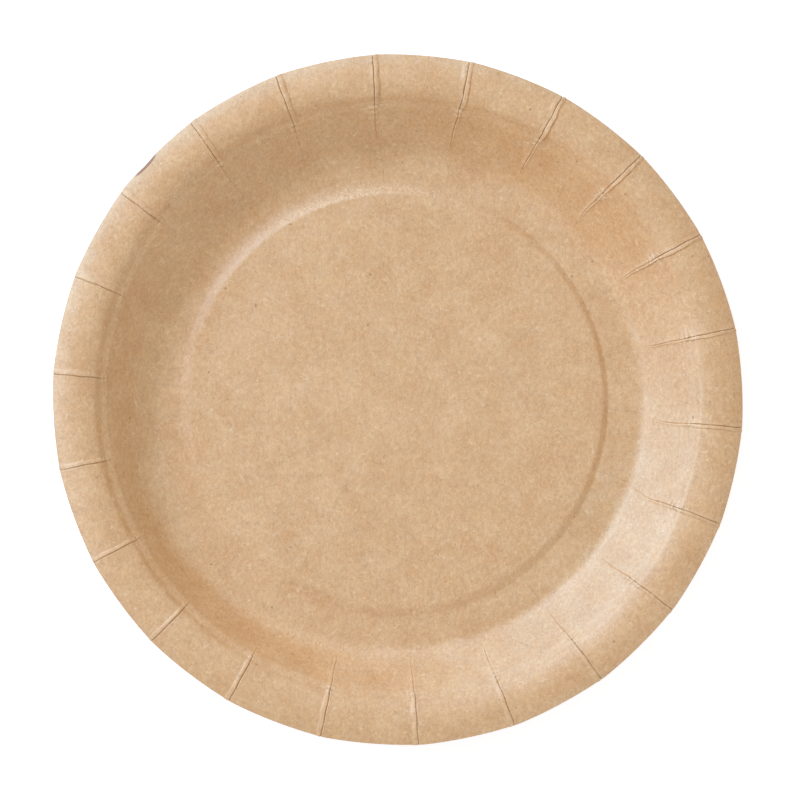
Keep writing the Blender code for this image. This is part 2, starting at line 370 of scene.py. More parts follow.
def profile_slope(radius, angle):
    """Slope angle of the board at a radius and a place round the plate.

    A sum of smooth changes from the centre out: the downward step round the centre panel, which
    steepens gently and ends crisply, the foot's arc (sine of the slope grows evenly with radius),
    the steep wall, the shoulder's shallower band and its steeper lip, and the rim's two arcs
    (sine falls evenly through the crown).
    """
    outwards = bells(angle, STEP_WIDER_OUTWARDS)
    width = PANEL_STEP_WIDTH + bells(angle, STEP_WIDER) + outwards
    middle = EDGE_RADIUS - PANEL_STEP_IN - STEP_SHIFT * np.cos(angle) + outwards / 2
    share = (radius - middle) / width + 0.5
    step = smooth(0.0, STEP_STEEP_FROM, share) * (1 - smooth(STEP_STEEP_TO, 1.0, share))
    average = (STEP_STEEP_TO + 1 - STEP_STEEP_FROM) / 2
    step = np.arctan(-step_rise(angle) / width * step / average)
    foot = EDGE_RADIUS - FOOT_IN + bells(angle, FOOT_OUTWARDS)
    fillet = FOOT_FILLET + bells(angle, FOOT_SOFTER)
    wall = WALL_ANGLE + STEEPENING * np.cos(angle - STEEP_SIDE)
    slope = step + np.arcsin(np.clip((radius - foot) / fillet, 0.0, np.sin(wall)))
    shoulder = SHOULDER_ANGLE - bells(angle, SHOULDER_FLATTER)
    slope += (shoulder - wall) * smooth_about(EDGE_RADIUS - SHOULDER_FOOT_IN, SHOULDER_FOOT_HALF, radius)
    slope += (LIP_ANGLE - shoulder) * smooth_about(EDGE_RADIUS - SHOULDER_LIP_IN, SHOULDER_LIP_HALF, radius)
    crown = EDGE_RADIUS - CROWN_IN + bells(angle, CROWN_OUTWARDS)
    inner = RIM_INNER_ARC + bells(angle, INNER_ARC_WIDER)
    outer = RIM_OUTER_ARC + bells(angle, OUTER_ARC_WIDER)
    sine = (crown - radius) / np.where(radius < crown, inner, outer)
    rim = np.arcsin(np.clip(sine, -STEEPEST_RIM_SINE, STEEPEST_RIM_SINE))
    rim -= bells(angle, EDGE_ROLL) * smooth(crown + EDGE_ROLL_PAST_CROWN, EDGE_RADIUS, radius)
    crisp = np.minimum(bells(angle, CREASE_CRISPER), 1.0)
    half = CREASE_HALF_SOFT + (CREASE_HALF_CRISP - CREASE_HALF_SOFT) * crisp
    crease = EDGE_RADIUS - CREASE_IN + bells(angle, CREASE_OUTWARDS)
    on_rim = smooth_about(crease, half, radius)
    return slope * (1 - on_rim) + rim * on_rim


def running_sum(values, step):
    """The integral of each column from the first row on, by trapezoids."""
    start = np.zeros(values.shape[1])
    return np.vstack([start, np.cumsum((values[1:] + values[:-1]) / 2, 0)]) * step


def read_rows(table, place):
    """A table's rows at row numbers that may lie between two rows."""
    low = np.minimum(place.astype(int), len(table) - 2)
    part = (place - low)[:, None]
    return table[low] * (1 - part) + table[low + 1] * part


def profile(radii, angles):
    """Height, slope and length along the board, each as (radii, angles).

    The height is the running sum of the slope's tangent along the radius, and the length that of
    its secant; both are then read off at the radii wanted. The heights are fitted so that the
    ledge stands on the floor and the crown reaches the frame's top, and the unevenness of the
    step fades out over the centre panel.
    """
    table = np.linspace(0.0, EDGE_RADIUS, PROFILE_ROWS)
    slope = profile_slope(table[:, None], angles[None, :])
    rise = running_sum(np.tan(slope), table[1])
    run = running_sum(1 / np.cos(slope), table[1])
    ledge = np.searchsorted(table, EDGE_RADIUS - FOOT_IN - FOOT_MOST_INWARDS)
    rise = rise - rise[ledge]
    panel_share = table / (EDGE_RADIUS - PANEL_STEP_IN - PANEL_STEP_WIDTH)
    fading = 1 - smooth(PANEL_EVEN_TO, PANEL_UNEVEN_FROM, panel_share)[:, None]
    panel = rise - (step_rise(angles) - PANEL_RISE) * fading
    climb = PLATE_HEIGHT - RELIEF - BOARD
    outer = (table > table[ledge])[:, None]
    rise = np.where(outer, np.maximum(rise, 0.0) * climb / rise.max(0), panel)
    place = np.interp(radii, table, np.arange(len(table)))
    return read_rows(rise, place) + HALF_BOARD, read_rows(slope, place), read_rows(run, place)


def rows(stretches):
    """Radii from the centre out: each stretch is (end, number of steps), evenly divided."""
    values = [0.0]
    for end, count in stretches:
        values.extend(np.linspace(values[-1], end, count + 1)[1:])
    return np.array(values)


# ---------------------------------------------------------------- the pleats

def pleat_noise(rng, radii, waves):
    """A smooth random line for each pleat along the radius: sines of the given (length, height)."""
    total = np.zeros((len(radii), PLEATS))
    for length, height in waves:
        phase = rng.uniform(0, 2 * math.pi, PLEATS)
        stretch = rng.uniform(*WAVE_STRETCH, PLEATS)
        size = height * rng.uniform(*WAVE_SIZE, PLEATS)
        total += size * np.sin(2 * math.pi * radii[:, None] / (length * stretch) + phase)
    return total


def pleat_strength(rng, radii, centre):
    """How deep each fold shows: full on the rim, and on the wall from full down to faint.

    The folds are faint on the steep side of the wall, as a bell of the angle round the plate, and
    each ends at its own radius above the foot.
    """
    faint = np.minimum(1.0, bells(centre, FAINT_FOLDS))
    wall = (WALL_DEPTH - FAINT_LOSS * faint) * rng.uniform(*WALL_DEPTH_RANGE, PLEATS)
    ends = EDGE_RADIUS - FOLD_END_IN + rng.uniform(0.0, FOLD_END_SCATTER, PLEATS)
    ends += FAINT_END_OUTWARDS * faint - bells(centre, FOLDS_REACH_INWARDS)
    grown = smooth(ends, ends + FOLD_END_LENGTH, radii[:, None])
    on_rim = smooth_about(EDGE_RADIUS - FULL_DEPTH_IN, FULL_DEPTH_HALF, radii)[:, None]
    uneven = 1 + pleat_noise(rng, radii, DEPTH_WAVES)
    rim = 1 - bells(centre, RIM_FOLDS_SHALLOWER)
    return np.clip(grown * (wall * (1 - on_rim) + rim * on_rim) * uneven, 0.0, 1.0)


def relief_share(rng, radii, centre):
    """How far the strip over a fold stands up: low on the wall and at the edge, full between."""
    rise = smooth(EDGE_RADIUS - RELIEF_RISES_IN, EDGE_RADIUS - RELIEF_FULL_IN, radii)[:, None]
    rise = RELIEF_ON_WALL + (1 - RELIEF_ON_WALL) * rise
    at_edge = smooth(EDGE_RADIUS - RELIEF_FULL_TO_IN, EDGE_RADIUS - LOW_BY_EDGE_IN, radii)[:, None]
    each = LEAST_FOLD_RELIEF + bells(centre, FOLDS_HIGHER)
    share = rise * (1 - RELIEF_LOSS_AT_EDGE * at_edge) * each * rng.uniform(*RELIEF_RANGE, PLEATS)
    return np.clip(share, *RELIEF_LIMITS)


def pleat_hook(radii, centre):
    """Sideways bend of a fold's lower end, in metres along the rim, by a square law down the wall."""
    below = np.clip((EDGE_RADIUS - HOOK_IN - radii) / HOOK_LENGTH, 0.0, HOOK_LENGTHS_AT_MOST)[:, None]
    return bells(centre, HOOKS) * below ** 2


def draw_folds(rng, radii):
    """Where the pleats are, and how each one's section changes along it, as (radii, pleats).

    A fold takes up the board's spare width: the flat blank's circumference follows the length
    along the board and the pressed one the radius, and a fold uses up twice its overlap.
    """
    folds = SimpleNamespace()
    folds.centre = FIRST_PLEAT + SECTOR * np.arange(PLEATS) + rng.normal(0.0, PLEAT_SCATTER, PLEATS)
    _, _, run = profile(radii, folds.centre)
    spare = (run - radii[:, None]) * math.pi / PLEATS
    pinched_at = PINCH_RADIUS + rng.normal(0.0, PINCH_SCATTER, PLEATS)
    folds.pinch = bell((radii[:, None] - pinched_at) / PINCH_WIDTH) * rng.uniform(*PINCH_RANGE, PLEATS)
    narrowed = (1 + pleat_noise(rng, radii, OVERLAP_WAVES)) * (1 - PINCH_NARROWING * folds.pinch)
    folds.overlap = np.maximum(spare * OVERLAP_SPREAD * narrowed, LEAST_OVERLAP)
    folds.depth = np.clip(spare / FULL_DEPTH_SPARE, 0.0, 1.0) * pleat_strength(rng, radii, folds.centre)
    folds.relief = RELIEF * relief_share(rng, radii, folds.centre)
    folds.valley = VALLEY * np.clip(1 + pleat_noise(rng, radii, VALLEY_WAVES), *VALLEY_SHARES)
    return folds


def on_wall(radii):
    """1 on the wall, and 0 from the pinch out."""
    return 1 - smooth(PINCH_RADIUS - PINCH_HALF, PINCH_RADIUS, radii)


def groove_depth(radii):
    """Depth of the scored groove beside a fold: faint on the wall, full on the rim, fading at the edge."""
    scored = smooth_about(PINCH_RADIUS, PINCH_HALF, radii)
    at_edge = smooth(EDGE_RADIUS - GROOVE_FULL_TO_IN, EDGE_RADIUS - LOW_BY_EDGE_IN, radii)
    scored = scored * (1 - GROOVE_LOSS_AT_EDGE * at_edge)
    return GROOVE * (GROOVE_ON_WALL + (1 - GROOVE_ON_WALL) * scored)[:, None]


def fold_section(radii, folds):
    """The upper side of every pleat's section, as (along, above) with the points last.

    Left to right: a scored groove, a ramp up from it to the top layer, which is level or leans on
    to its nose, round the nose (a quarter of an ellipse and on under it), back through the crevice
    to where the middle layer turns, out over the bottom layer, and a smooth rise up the far side
    of the valley. Where a fold's depth is under 1 all heights shrink towards the flat board.
    """
    lean = LEAN * np.cos(folds.centre - LEAN_SIDE)
    behind = folds.relief * (LEVEL_RELIEF + lean)
    front = folds.relief * (LEVEL_RELIEF - lean)
    groove = groove_depth(radii)
    half = folds.overlap / 2
    top = HALF_BOARD + front
    # Three layers and the two crevices between them fill the section from -top to top.
    layer = (2 * top - 2 * CREVICE) / 3
    reach = np.minimum(layer, NOSE_REACH * folds.overlap)
    floor = top - 2 * layer - CREVICE
    along, above = [], []
    for i in range(RAMP_STEPS + 1):
        share = i / RAMP_STEPS
        along.append(-half - RAMP * (1 - share))
        above.append(HALF_BOARD - groove + (behind + groove) * smooth(0.0, 1.0, share))
    for i in range(NOSE_STEPS + 1):
        turn = math.radians(90.0 - NOSE_TURN * i / NOSE_STEPS)
        along.append(half - reach + reach * math.cos(turn))
        above.append(top - layer + layer * math.sin(turn))
    along.append(np.minimum(-half + layer, half + LIP / 2))
    above.append(floor + CREVICE / 2)
    for i in range(FAR_STEPS + 1):
        share = i / FAR_STEPS
        along.append(half + LIP + folds.valley * share)
        above.append(floor + (HALF_BOARD - floor) * smooth(0.0, 1.0, share))
    along = np.stack(along, axis=-1)
    above = np.stack(above, axis=-1)
    return along, HALF_BOARD + folds.depth[..., None] * (above - HALF_BOARD)


def edge_dip(radii, share, angle):
    """How far the cut edge lies inside its circle: a parabola between pleats, and one small dent."""
    near = np.clip(1 - (EDGE_RADIUS - radii) / EDGE_DIP_REACH, 0.0, 1.0)[:, None, None] ** 2
    chord = EDGE_DIP * 4 * share * (1 - share)
    away = np.clip(np.abs(angle - DENT_ANGLE) / DENT_HALF_ANGLE, 0.0, 1.0)
    dent = DENT_DEPTH * (1 + np.cos(math.pi * away)) / 2
    return near * (chord + dent)


def wear_and_highlight_field(rng, radii, sheet, folds):
    """How pale the board is made at each point by rubbed wear and painted light, 0 where it is fresh.

    A bell on both sides of each fold's nose, a scuff beside one fold near the edge, a painted lighter
    middle of the centre panel standing in for the walls' shade, a paler band along the wall's foot
    on one side, and a painted highlight on the panel's step where the lamp lights it.
    """
    crest = folds.pinch * (PINCH_WEAR + PINCH_WEAR_ON_WRINKLES * folds.wave)
    crest += FOLD_WEAR + pleat_noise(rng, radii, WEAR_WAVES)
    crest += bells(folds.centre, WALL_FOLDS_WORN) * on_wall(radii)[:, None]
    width = FOLD_WEAR_WIDTH * (1 + PINCH_WEAR_WIDER * folds.pinch[..., None])
    wear = bell(sheet.near / width) * (np.clip(crest, 0.0, MOST_FOLD_WEAR) * folds.depth)[..., None]
    scuff = bells(folds.centre, SCUFFED_FOLD) * bell((radii - EDGE_RADIUS + SCUFF_IN) / SCUFF_LENGTH)[:, None]
    wear += scuff[..., None] * bell((sheet.past_nose - SCUFF_PAST_NOSE) / SCUFF_WIDTH)
    # Painted light: the panel paler in its middle.
    wear += MIDDLE_PAINTED_LIGHT * bell(radii / MIDDLE_PAINTED_LIGHT_RADIUS)[:, None, None]
    # A paler band along the wall's foot on one side.
    foot = bell((radii - EDGE_RADIUS + FOOT_PALE_BAND_IN) / FOOT_PALE_BAND_WIDTH)[:, None, None]
    wear += bells(sheet.turned, FOOT_PALE_BAND) * foot
    # Painted highlight on the step where the lamp lights it.
    step = EDGE_RADIUS - PANEL_STEP_IN - STEP_SHIFT * np.cos(sheet.turned)
    wear += bells(sheet.turned, STEP_HIGHLIGHT) * bell((radii[:, None, None] - step) / STEP_HIGHLIGHT_HALF_WIDTH, 4)
    return wear


def tint_shade_and_sheen_field(radii, sheet, folds):
    """Colour shifts on the wall, ledge, edge and folds: browned above 0 and greyed below it.

    Each of the first three is a flat-topped band of the radius times bells of the angle: the wall's
    greying is painted sheen, the ledge's browning and greying are painted shade and light, and the
    edge is greyed at two places round the plate. The fourth is a narrow bell along each fold on
    the wall, painted shade in the crease.
    """
    angle = sheet.turned
    inwards = EDGE_RADIUS - radii[:, None, None]
    half = WALL_TINT_HALF_WIDTH + bells(angle, WALL_TINT_WIDER)
    wall = bell((WALL_TINT_IN + bells(angle, WALL_TINT_INWARDS) - inwards) / half, 4)
    ledge = bell((LEDGE_TINT_IN - inwards) / LEDGE_TINT_HALF_WIDTH, 4)
    edge = bell(inwards / EDGE_GREY_WIDTH, 4)
    # The wall's greying is painted sheen.
    stain = wall * (bells(angle, WALL_BROWNED) - bells(angle, WALL_PAINTED_SHEEN))
    # The ledge's browning and greying are painted shade and light.
    stain += ledge * bells(angle, LEDGE_SHADE_AND_LIGHT) - edge * bells(angle, EDGE_GREYED)
    # Painted shade along each fold's crease on the wall.
    fold = (folds.depth * on_wall(radii)[:, None])[..., None] * bell(sheet.near / FOLD_PAINTED_SHADE_WIDTH)
    return stain + FOLD_PAINTED_SHADE * fold


def sheet_grid(radii, side):
    """One face of the board as points (rows, columns, 3), its wear with painted highlights and its
    colour shifts with painted shade and sheen (rows, columns).

    Every sector holds a pleat's section and then the panel up to the next pleat, whose columns
    crowd towards the folds. A point goes to the middle surface's radius and height at its column,
    moves off it along the slope's normal by its height in the section, and turns round the axis by
    its distance along the rim. The underside's section is the upper side's turned half round.
    """
    rng = np.random.default_rng(SEED)
    folds = draw_folds(rng, radii)
    along, above = fold_section(radii, folds)
    if side < 0:
        along, above = -along[..., ::-1], -above[..., ::-1]
    nose = pleat_noise(rng, radii, DRIFT_WAVES) + pleat_hook(radii, folds.centre) - LIP
    nose += BLANK_SHIFT_Y * np.cos(folds.centre) - BLANK_SHIFT_X * np.sin(folds.centre)
    drift = nose - folds.overlap / 2
    nose = nose[..., None]

    # Near the centre the sections are narrowed so that they take up a third of a sector at most.
    safe = np.maximum(radii, 1 * MM)[:, None, None]
    gap = safe * ((np.roll(folds.centre, -1) - folds.centre) % (2 * math.pi))[None, :, None]
    narrowing = np.minimum(1.0, gap / 3 / np.ptp(along, axis=-1, keepdims=True).max())
    along = (along + drift[..., None]) * narrowing
    start = along[..., -1:]
    end = gap + np.roll(along[..., :1], -1, axis=1)
    even = np.arange(1, PANEL_COLUMNS + 1) / (PANEL_COLUMNS + 1)
    crowded = even - CROWDING * np.sin(2 * math.pi * even) / (2 * math.pi)
    panel_along = start + (end - start) * crowded
    from_fold = np.minimum(panel_along - start, end - panel_along)
    tuck = -TUCK_DEPTH * bell(from_fold / TUCK_WIDTH) * folds.depth[..., None]
    along = np.concatenate([along, panel_along], axis=-1)
    above = np.concatenate([above, side * HALF_BOARD + tuck], axis=-1)

    sheet = SimpleNamespace(past_nose=along - nose, turned=folds.centre[None, :, None] + along / safe)
    sheet.near = np.minimum(np.abs(sheet.past_nose), np.abs(gap + np.roll(nose, -1, axis=1) - along))
    phase = rng.uniform(*WRINKLE_PHASES, PLEATS)
    folds.wave = np.sin(2 * math.pi * radii[:, None] / WRINKLE_LENGTH + phase)
    ripple = (folds.wave * folds.pinch * folds.depth)[..., None] * bell(sheet.near / WRINKLE_WIDTH)
    above = above + WRINKLE * ripple
    # Every row takes the outermost row's angles here, since the profile changes slowly with the angle.
    height, slope, _ = profile(radii, sheet.turned[-1].reshape(-1))
    height = height.reshape(along.shape)
    slope = slope.reshape(along.shape)
    inward = edge_dip(radii, np.clip(along / gap, 0.0, 1.0), sheet.turned)
    radius = radii[:, None, None] - above * np.sin(slope) - inward * np.cos(slope)
    radius = np.where(radii[:, None, None] > 0, radius, 0.0)
    height = height + above * np.cos(slope) - inward * np.sin(slope)
    points = [radius * np.cos(sheet.turned), radius * np.sin(sheet.turned), height]
    points = np.stack(points, axis=-1).reshape(len(radii), -1, 3)
    wear = wear_and_highlight_field(rng, radii, sheet, folds).reshape(len(radii), -1)
    stain = tint_shade_and_sheen_field(radii, sheet, folds).reshape(len(radii), -1)
    return points, wear, stain


# ---------------------------------------------------------------- the mesh

def grid_faces(row_count, column_count, start, flip):
    """A fan at a ring-shaped grid's first point, and quads between its neighbouring rows."""
    ring = np.arange(column_count)
    after = (ring + 1) % column_count
    base = start + 1 + column_count * np.arange(row_count - 2)[:, None]
    fan = np.stack([np.full(column_count, start), start + 1 + ring, start + 1 + after], axis=-1)
    quads = [base + ring, base + column_count + ring, base + column_count + after, base + after]
    quads = np.stack(quads, axis=-1).reshape(-1, 4)
    if flip:
        quads, fan = quads[:, ::-1], fan[:, ::-1]
    return fan.tolist() + quads.tolist()


def edge_faces(upper_start, lower_start, column_count):
    """The cut edge: strips and fans between the two outlines, so that every layer shows.

    Each pair is a column of the upper outline and the lower outline's column under it. The upper
    nose fans from the point where the lower side's crevice turns, and the lower nose from that
    of the upper side, with the middle layer between the two fans.
    """
    crevice = RAMP_STEPS + NOSE_STEPS + 2
    turn = FAR_STEPS + 1
    pairs = [(i, i) for i in range(RAMP_STEPS + 1)]
    pairs += [(i, turn) for i in range(RAMP_STEPS + 1, crevice)]
    pairs += [(crevice, i) for i in range(turn + 1, turn + NOSE_STEPS + 2)]
    pairs += [(i, i) for i in range(crevice + 1, FOLD_COLUMNS + PANEL_COLUMNS + 1)]
    pairs = np.array(pairs)
    first = (np.arange(PLEATS) * (FOLD_COLUMNS + PANEL_COLUMNS))[:, None]
    top = upper_start + (first + pairs[:, 0]) % column_count
    bottom = lower_start + (first + pairs[:, 1]) % column_count
    corners = np.stack([bottom[:, :-1], bottom[:, 1:], top[:, 1:], top[:, :-1]], axis=-1)
    return [list(dict.fromkeys(face)) for face in corners.reshape(-1, 4).tolist()]


def one_centre(sheet):
    """A face's values in one line, with its first row, which all lies on the axis, as one mean value."""
    return np.concatenate([sheet[0].mean(0, keepdims=True), sheet[1:].reshape(-1, *sheet.shape[2:])])


def plate_piece(face, cut):
    """The whole board: upper face, underside and cut edge, closed at both centres."""
    # The rows end a little inside the edge, because the sloping rim's upper side reaches out past them.
    fit = 1 - (HALF_BOARD + RELIEF) * CROWN_IN / RIM_OUTER_ARC / EDGE_RADIUS
    upper_radii = rows(UPPER_ROWS) * fit
    lower_radii = rows(LOWER_ROWS) * fit
    upper = sheet_grid(upper_radii, 1)
    lower = sheet_grid(lower_radii, -1)
    points, wear, stain = (
        np.concatenate([one_centre(above), one_centre(below)]) for above, below in zip(upper, lower)
    )
    points[:, :2] *= min(1.0, float((BOX_HIGH[:2] / np.abs(points[:, :2]).max(0)).min()))
    columns = PLEATS * (FOLD_COLUMNS + PANEL_COLUMNS)
    lower_start = 1 + columns * (len(upper_radii) - 1)
    faces = grid_faces(len(upper_radii), columns, 0, False)
    faces += grid_faces(len(lower_radii), columns, lower_start, True)
    skin = len(faces)
    faces += edge_faces(lower_start - columns, len(points) - columns, columns)
    mesh = bpy.data.meshes.new("pleated_plate")
    mesh.from_pydata(points.tolist(), [], faces)
    mesh.materials.append(face)
    mesh.materials.append(cut)
    slots = np.zeros(len(faces), dtype=np.int32)
    slots[skin:] = 1
    mesh.polygons.foreach_set("material_index", slots)
    # The first attribute holds rubbed wear and painted highlights, the second colour shifts with painted
    # shade and painted sheen.
    mesh.attributes.new("wear_and_highlight", "FLOAT", "POINT").data.foreach_set("value", wear)
    mesh.attributes.new("tint_shade_and_sheen", "FLOAT", "POINT").data.foreach_set("value", stain)
    mesh.shade_smooth()
    mesh.set_sharp_from_angle(angle=SHARP_EDGE)
    mesh.validate()
    piece = bpy.data.objects.new("pleated_plate", mesh)
    bpy.context.scene.collection.objects.link(piece)
    return piece


# ---------------------------------------------------------------- shader helpers

VALUE = "NodeSocketFloat"
VECTOR = "NodeSocketVector"
COLOUR = "NodeSocketColor"


def fill(tree, node, **inputs):
    """Gives a node's inputs a value or a link. A colour may be given without its alpha.

    An input is named with _ for each space, or by i and its number where several share a name.
    """
    for name, value in inputs.items():
        numbered = name[0] == "i" and name[1:].isdigit()
        socket = node.inputs[int(name[1:]) if numbered else name.replace("_", " ")]
        if isinstance(value, bpy.types.NodeSocket):
            tree.links.new(value, socket)
        elif socket.type == "RGBA" and len(value) == 3:
            socket.default_value = (*value, 1.0)
        else:
            socket.default_value = value


def put(tree, kind, settings=None, **inputs):
    """A new node with its settings and its inputs."""
    node = tree.nodes.new(kind)
    for name, value in (settings or {}).items():
        setattr(node, name, value)
    fill(tree, node, **inputs)
    return node


def calc(tree, operation, first, second=0.0, third=0.0):
    """The result socket of a Math node."""
    return put(tree, "ShaderNodeMath", {"operation": operation}, i0=first, i1=second, i2=third).outputs[0]


def ramp(tree, value, low, high, to_low=0.0, to_high=1.0):
    """A smooth step of a value between two limits, as a socket."""
    settings = {"interpolation_type": "SMOOTHSTEP"}
    limits = {"From_Min": low, "From_Max": high, "To_Min": to_low, "To_Max": to_high}
    return put(tree, "ShaderNodeMapRange", settings, Value=value, **limits).outputs[0]


def blend(tree, factor, first, second, kind="MIX"):
    """The colour socket of a Mix node."""
    settings = {"data_type": "RGBA", "blend_type": kind}
    return put(tree, "ShaderNodeMix", settings, i0=factor, i6=first, i7=second).outputs[2]


def moved(tree, vector, by):
    """A vector with another added to it, as a socket."""
    return put(tree, "ShaderNodeVectorMath", {"operation": "ADD"}, i0=vector, i1=by).outputs[0]


def noise(tree, vector, scale, detail, roughness, shift=0.0):
    """A Noise texture's value; shift moves it to another part of the pattern."""
    place = moved(tree, vector, (shift, shift * 0.7, -shift))
    texture = {"Vector": place, "Scale": scale, "Detail": detail, "Roughness": roughness}
    return put(tree, "ShaderNodeTexNoise", **texture).outputs[0]


def swing(tree, value, amount, size):
    """A noise's distance from its middle value, times an amount and a size."""
    centred = calc(tree, "SUBTRACT", value, 0.5)
    return calc(tree, "MULTIPLY", calc(tree, "MULTIPLY", centred, amount), size)


def new_group(name, inputs, outputs):
    """An empty shader group with its sockets; returns the tree, its inputs and its output node."""
    tree = bpy.data.node_groups.new(name, "ShaderNodeTree")
    for label, (kind, value) in inputs.items():
        socket = tree.interface.new_socket(label, in_out="INPUT", socket_type=kind)
        if value is not None:
            socket.default_value = value
    for label, kind in outputs.items():
        tree.interface.new_socket(label, in_out="OUTPUT", socket_type=kind)
    start = tree.nodes.new("NodeGroupInput")
    end = tree.nodes.new("NodeGroupOutput")
    return tree, start.outputs, end


def place_group(tree, group, **inputs):
    """The outputs of a shader group placed in a tree with its inputs."""
    return put(tree, "ShaderNodeGroup", {"node_tree": group}, **inputs).outputs


# ---------------------------------------------------------------- materials, in millimetres

def fibre_group():
    """Loose fibres: thin winding lines where a noise passes its middle value, broken into lengths.

    Size is the spacing of the bends in millimetres, Width the lines' half-width as noise value,
    and Cover the share of their length that shows.
    """
    inputs = {"Vector": (VECTOR, None), "Size": (VALUE, 2.0), "Width": (VALUE, 0.02),
              "Cover": (VALUE, 0.3), "Shift": (VALUE, 0.0)}
    tree, given, end = new_group("fibres", inputs, {"Mask": VALUE})
    shift = given["Shift"]
    shift = put(tree, "ShaderNodeCombineXYZ", i0=shift, i1=shift, i2=shift).outputs[0]
    place = moved(tree, given["Vector"], shift)
    scale = calc(tree, "DIVIDE", 1.0, given["Size"])
    bend = noise(tree, place, scale, detail=1.0, roughness=0.6)
    away = calc(tree, "ABSOLUTE", calc(tree, "SUBTRACT", bend, 0.5))
    line = calc(tree, "SUBTRACT", 1.0, calc(tree, "DIVIDE", away, given["Width"]))
    line = calc(tree, "MAXIMUM", line, 0.0)
    finer = calc(tree, "MULTIPLY", scale, 1.7)
    broken = noise(tree, place, finer, detail=1.0, roughness=0.5, shift=31.0)
    limit = calc(tree, "SUBTRACT", 0.72, calc(tree, "MULTIPLY", given["Cover"], 0.44))
    shown = ramp(tree, broken, limit, calc(tree, "ADD", limit, 0.06))
    fill(tree, end, Mask=calc(tree, "MULTIPLY", line, shown))
    return tree


def speck_group():
    """Specks: small dots in the cells of a Voronoi pattern, kept where a cell's random value picks it."""
    inputs = {"Vector": (VECTOR, None), "Spacing": (VALUE, 3.0), "Radius": (VALUE, 0.1),
              "Share": (VALUE, 0.3)}
    tree, given, end = new_group("specks", inputs, {"Mask": VALUE})
    scale = calc(tree, "DIVIDE", 1.0, given["Spacing"])
    cells = put(tree, "ShaderNodeTexVoronoi", Vector=given["Vector"], Scale=scale).outputs
    pick = put(tree, "ShaderNodeSeparateColor", i0=cells["Color"]).outputs
    size = calc(tree, "MULTIPLY", given["Radius"], calc(tree, "ADD", 0.4, pick[1]))
    warp = noise(tree, given["Vector"], 1.6, detail=2.0, roughness=0.6, shift=7.0)
    warp = swing(tree, warp, 1.0, 0.12)
    distance = calc(tree, "ADD", cells["Distance"], warp)
    dot = ramp(tree, calc(tree, "SUBTRACT", size, distance), 0.0, 0.05)
    kept = calc(tree, "LESS_THAN", pick[0], given["Share"])
    fill(tree, end, Mask=calc(tree, "MULTIPLY", dot, kept))
    return tree


def pulp_group(fibres, specks):
    """The board's pulp: cloudy tone, fine grain, pale and dark fibres and specks, and their height.

    Base is multiplied in turn by 1 + tint x swing for the clouds, the grain and the changes of
    hue. The grain's pattern is drawn out a little in one direction, as the sheet was made.
    """
    inputs = {"Vector": (VECTOR, None), "Base": (COLOUR, (*KRAFT, 1.0)), "Cloud": (VALUE, 1.0),
              "Grain": (VALUE, 1.0), "Fibre": (VALUE, 1.0)}
    tree, given, end = new_group("kraft_pulp", inputs, {"Color": COLOUR, "Height": VALUE})
    place = given["Vector"]
    drawn = put(tree, "ShaderNodeMapping", Vector=place, Scale=(1.2, 0.78, 1.0)).outputs[0]
    cloud = noise(tree, place, 0.08, detail=3.0, roughness=0.85, shift=3.0)
    grain = noise(tree, drawn, 1.05, detail=3.0, roughness=1.0, shift=19.0)
    hue = noise(tree, place, 0.3, detail=2.0, roughness=0.6, shift=47.0)
    changes = ((swing(tree, cloud, given["Cloud"], 0.35), CLOUD_TINT),
               (swing(tree, grain, given["Grain"], 0.86), GRAIN_TINT),
               (swing(tree, hue, given["Cloud"], 0.32), HUE_TINT))
    toned = given["Base"]
    for change, tint in changes:
        red, green, blue = (calc(tree, "MULTIPLY_ADD", change, share, 1.0) for share in tint)
        level = put(tree, "ShaderNodeCombineColor", i0=red, i1=green, i2=blue).outputs[0]
        toned = blend(tree, 1.0, toned, level, "MULTIPLY")
    pale = place_group(tree, fibres, Vector=place, Size=3.0, Width=0.022, Cover=0.42, Shift=5.0)["Mask"]
    fine = place_group(tree, fibres, Vector=place, Size=1.5, Width=0.04, Cover=0.35, Shift=61.0)["Mask"]
    dark = place_group(tree, fibres, Vector=place, Size=2.4, Width=0.026, Cover=0.4, Shift=23.0)["Mask"]
    pale = calc(tree, "MAXIMUM", pale, calc(tree, "MULTIPLY", fine, 0.7))
    pale = calc(tree, "MULTIPLY", pale, given["Fibre"])
    dark = calc(tree, "MULTIPLY", dark, given["Fibre"])
    shives = place_group(tree, specks, Vector=place, Spacing=4.2, Radius=0.085, Share=0.4)["Mask"]
    elsewhere = moved(tree, place, (40.0, 9.0, 3.0))
    flecks = place_group(tree, specks, Vector=elsewhere, Spacing=6.0, Radius=0.06, Share=0.35)["Mask"]
    for mask, strength, colour in ((pale, 0.45, PALE_FIBRE), (dark, 0.38, DARK_FIBRE),
                                   (shives, 0.62, SHIVE), (flecks, 0.5, FLECK)):
        toned = blend(tree, calc(tree, "MULTIPLY", mask, strength), toned, colour)
    height = calc(tree, "ADD", calc(tree, "MULTIPLY", grain, 0.6), calc(tree, "MULTIPLY", pale, 0.5))
    fill(tree, end, Color=toned, Height=height)
    return tree


def painted_gap_shadow(tree, millimetres):
    """The dent's painted gap shadow: 1 inside an ellipse on the edge and 0 outside it, with a soft border."""
    radius = (EDGE_RADIUS - GAP_SHADOW_IN) / MM
    middle = (radius * math.cos(DENT_ANGLE), radius * math.sin(DENT_ANGLE), 0.0)
    turned = {"Location": middle, "Rotation": (0.0, 0.0, DENT_ANGLE), "Scale": GAP_SHADOW_HALF_SIZE}
    offset = put(tree, "ShaderNodeMapping", {"vector_type": "TEXTURE"}, Vector=millimetres, **turned)
    away = put(tree, "ShaderNodeVectorMath", {"operation": "LENGTH"}, i0=offset.outputs[0])
    return ramp(tree, away.outputs["Value"], 0.6, 1.0, 1.0, 0.0)


